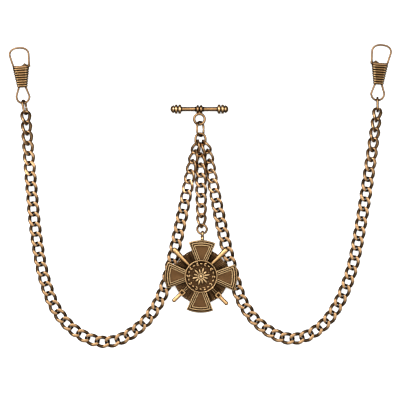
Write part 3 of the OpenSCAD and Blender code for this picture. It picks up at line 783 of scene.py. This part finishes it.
def clip_sleeve():
    """Materials: 0 ribs, 1 grooves, darkened as painted shade, 2 plain ends, 3 the ends of the
    ribs, a painted highlight.
    """
    sleeve = Build()
    rows, mats = [sleeve_ring(0.22, 0.75)], [1]
    rows.append(sleeve_ring(0.2, 0.35))
    mats.append(1)
    pitch = SLEEVE_LENGTH / RIBS
    rib = [(0, 1), (0.2, 1), (0.26, 0.6), (0.34, 0.25), (0.44, 0.05), (0.54, 0), (0.66, 0.05),
           (0.76, 0.25), (0.84, 0.6)]
    for i in range(RIBS):
        for f, drop in rib:
            rows.append(sleeve_ring(0.2 + (i + f) * pitch, 0.34 * drop))
            mats.append(1 if f < 0.3 or f > 0.75 else 0)
    top = 0.2 + SLEEVE_LENGTH
    for v, shrink, m in ((top, 0.3, 1), (top + 0.12, 0.16, 2), (top + 0.3, 0.08, 2),
                         (top + 0.75, 0.1, 2), (top + 1.05, 0.25, 2), (top + 1.2, 0.5, 2),
                         (top + 1.26, 1.1, 2), (top + 1.26, 2.0, 2)):
        rows.append(sleeve_ring(v, shrink))
        mats.append(m)
    sleeve.grid(rows[::-1], mat=mats[::-1][1:] + [1])
    # the ribs take a painted highlight towards both ends
    for k, face in enumerate(sleeve.faces):
        x, v = np.mean(sleeve.points[0][face], axis=0)[:2]
        if sleeve.mats[k] == 0 and abs(x) > HIGHLIGHT_FROM * sleeve_size(v)[0]:
            sleeve.mats[k] = 3
    sleeve.cap(rows[-1], mat=2, flip=True)
    sleeve.cap(rows[0], mat=1)
    # tongue beside the socket
    tongue = []
    for v, half, c, thick in ((9.5, 1.7, 1.75, 0.9), (10.1, 1.5, 1.75, 0.9),
                              (10.5, 1.1, 1.8, 0.8), (10.9, 0.6, 1.85, 0.6),
                              (11.25, 0.2, 1.85, 0.35)):
        tongue.append([(c + half * math.cos(a), v, thick * math.sin(a))
                       for a in np.arange(16) * 2 * math.pi / 16])
    sleeve.grid(tongue[::-1], mat=0)
    sleeve.cap(tongue[-1], mat=0, flip=True)
    # socket for the hook's tip
    mark = len(sleeve.points)
    revolve(sleeve, [(0, -0.75), (0.5, -0.72), (0.64, -0.45), (0.68, 0), (0.67, 0.35),
                     (0.63, 0.6), (0.56, 0.62), (0.55, 0.3), (0, 0.25)], 24,
            mat=[2, 2, 2, 2, 2, 2, 1, 1, 1])
    sleeve.shape(lambda p: np.stack([p[:, 0] + SOCKET[0] - 0.02, p[:, 2] + SOCKET[1],
                                     -p[:, 1]], -1), mark)
    return sleeve


def clip_spring():
    build = Build()
    end = 2 * math.pi * COIL_TURNS
    coil = [(COIL_R * math.cos(a), COIL_FROM + COIL_LENGTH * a / end, COIL_R * math.sin(a))
            for a in np.linspace(0, end, COIL_TURNS * 24)]
    sweep(build, coil, COIL_WIRE_R, 8, False, out=(0, 1, 0))
    return build


def clip(side, at, lean, inner):
    """inner is 1 for the left clip and -1 for the right one, which is its mirror image."""
    def place(p):
        return turn(p * np.array([inner, 1, 1]), "z", lean) + np.array([at[0], at[1], CLIP_Z])

    def put(build, name, materials, body, node, slot, sharp):
        build.shape(place)
        if inner < 0:  # mirroring turns the faces inside out, so they are turned back
            build.faces = [f[::-1] for f in build.faces]
        return build.mesh(f"{side}_{name}", materials, f"{side}_{body}", [f"{side}_{node}"],
                          slot, sharp)

    put(clip_wire(), "clip_wire", [WIRE], "clip_frame", "clip_frame", "aged_bronze", 50)
    put(clip_sleeve(), "clip_cone", [SLEEVE, GROOVE_SHADE, WIRE, BRIGHT], "clip_sleeve", "clip_sleeve",
        "bright_bronze", 70)
    obj = put(clip_spring(), "clip_coil", [STEEL], "clip_frame", "clip_spring", "spring_wire", 0)
    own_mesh(obj)


clip("left", (-81.25, 50.05), 4.1, 1)
clip("right", (82.1, 51.38), -4.1, -1)


# ---------------------------------------------------------------- room and light
FLOOR_SIDES, FLOOR_DROP = 64, 0.00005
# height from straight down (0) to straight up (1), and the colour there: a light tent overhead
SKY = [(0.0, (0.3, 0.29, 0.27)), (0.3, (0.14, 0.13, 0.12)), (0.42, (0.015, 0.014, 0.013)),
       (0.6, (0.012, 0.011, 0.01)), (0.78, (0.12, 0.11, 0.1)), (0.9, (0.8, 0.77, 0.72)),
       (1.0, (1.15, 1.12, 1.06))]
CAMERA_AT, VIEW_WIDTH, SENSOR = (0.00028, -0.00143, 0.9), 0.184, 36


def floor():
    """A pale table that curves up into a low wall far from the object."""
    profile = [(r, 0) for r in (0.01, 0.3, 0.8, 1.3, 1.8)]
    profile += [(1.8 + 0.8 * math.sin(math.radians(a)), 0.8 - 0.8 * math.cos(math.radians(a)))
                for a in range(10, 91, 10)] + [(2.6, 1.3)]
    build = Build()
    revolve(build, profile, FLOOR_SIDES)
    build.cap(build.points[0][:FLOOR_SIDES])
    data = bpy.data.meshes.new("table_top")
    data.from_pydata((np.concatenate(build.points) - [0, 0, FLOOR_DROP]).tolist(), [], build.faces)
    data.shade_smooth()
    obj = bpy.data.objects.new("table_top", data)
    bpy.context.scene.collection.objects.link(obj)
    m = bpy.data.materials.new("pale_floor")
    m.use_nodes = True
    b = m.node_tree.nodes["Principled BSDF"]
    b.inputs["Base Color"].default_value = (0.97, 0.97, 0.97, 1)
    b.inputs["Roughness"].default_value = 0.9
    b.inputs["Specular IOR Level"].default_value = 0.1
    b.inputs["Emission Color"].default_value = (1, 1, 1, 1)
    b.inputs["Emission Strength"].default_value = 0.6
    data.materials.append(m)
    obj.visible_glossy = False


def light(name, at, size, watts):
    """A soft box that points at the middle of the table."""
    lamp = bpy.data.lights.new(name, "AREA")
    lamp.shape = "RECTANGLE"
    lamp.size, lamp.size_y = size
    lamp.energy = watts
    obj = bpy.data.objects.new(name, lamp)
    obj.location = at
    obj.rotation_euler = (-Vector(at)).to_track_quat("-Z", "Y").to_euler()
    bpy.context.scene.collection.objects.link(obj)


def studio():
    world = bpy.data.worlds.new("studio")
    world.use_nodes = True
    bpy.context.scene.world = world
    t = world.node_tree
    t.nodes.clear()
    n, l = t.nodes.new, t.links.new
    out = n("ShaderNodeOutputWorld")
    background = n("ShaderNodeBackground")
    coord = n("ShaderNodeTexCoord")
    split = n("ShaderNodeSeparateXYZ")
    ramp = n("ShaderNodeValToRGB")
    height = n("ShaderNodeMapRange")
    height.inputs["From Min"].default_value = -1
    height.inputs["From Max"].default_value = 1
    stops = ramp.color_ramp.elements
    stops[0].color = (*SKY[0][1], 1)
    stops[1].color = (*SKY[-1][1], 1)
    for position, color in SKY[1:-1]:
        stops.new(position).color = (*color, 1)
    l(coord.outputs["Generated"], split.inputs[0])
    l(split.outputs["Z"], height.inputs["Value"])
    l(height.outputs["Result"], ramp.inputs["Fac"])
    l(ramp.outputs["Color"], background.inputs["Color"])
    l(background.outputs[0], out.inputs["Surface"])


def overhead_camera():
    """Unturned, a camera looks straight down. The view is VIEW_WIDTH wide at the table."""
    data = bpy.data.cameras.new("camera")
    camera = bpy.data.objects.new("camera", data)
    bpy.context.scene.collection.objects.link(camera)
    data.sensor_width = SENSOR
    data.sensor_fit = "HORIZONTAL"
    data.lens = SENSOR * CAMERA_AT[2] / VIEW_WIDTH
    data.clip_start = 0.05
    camera.location = CAMERA_AT
    bpy.context.scene.camera = camera


floor()
light("key", (-0.32, 0.36, 1.1), (0.42, 0.34), 10)
light("fill", (0.35, 0.1, 1.2), (0.3, 0.5), 4)
studio()
overhead_camera()
bpy.context.scene.view_settings.view_transform = "Standard"
bpy.context.scene.view_settings.look = "None"
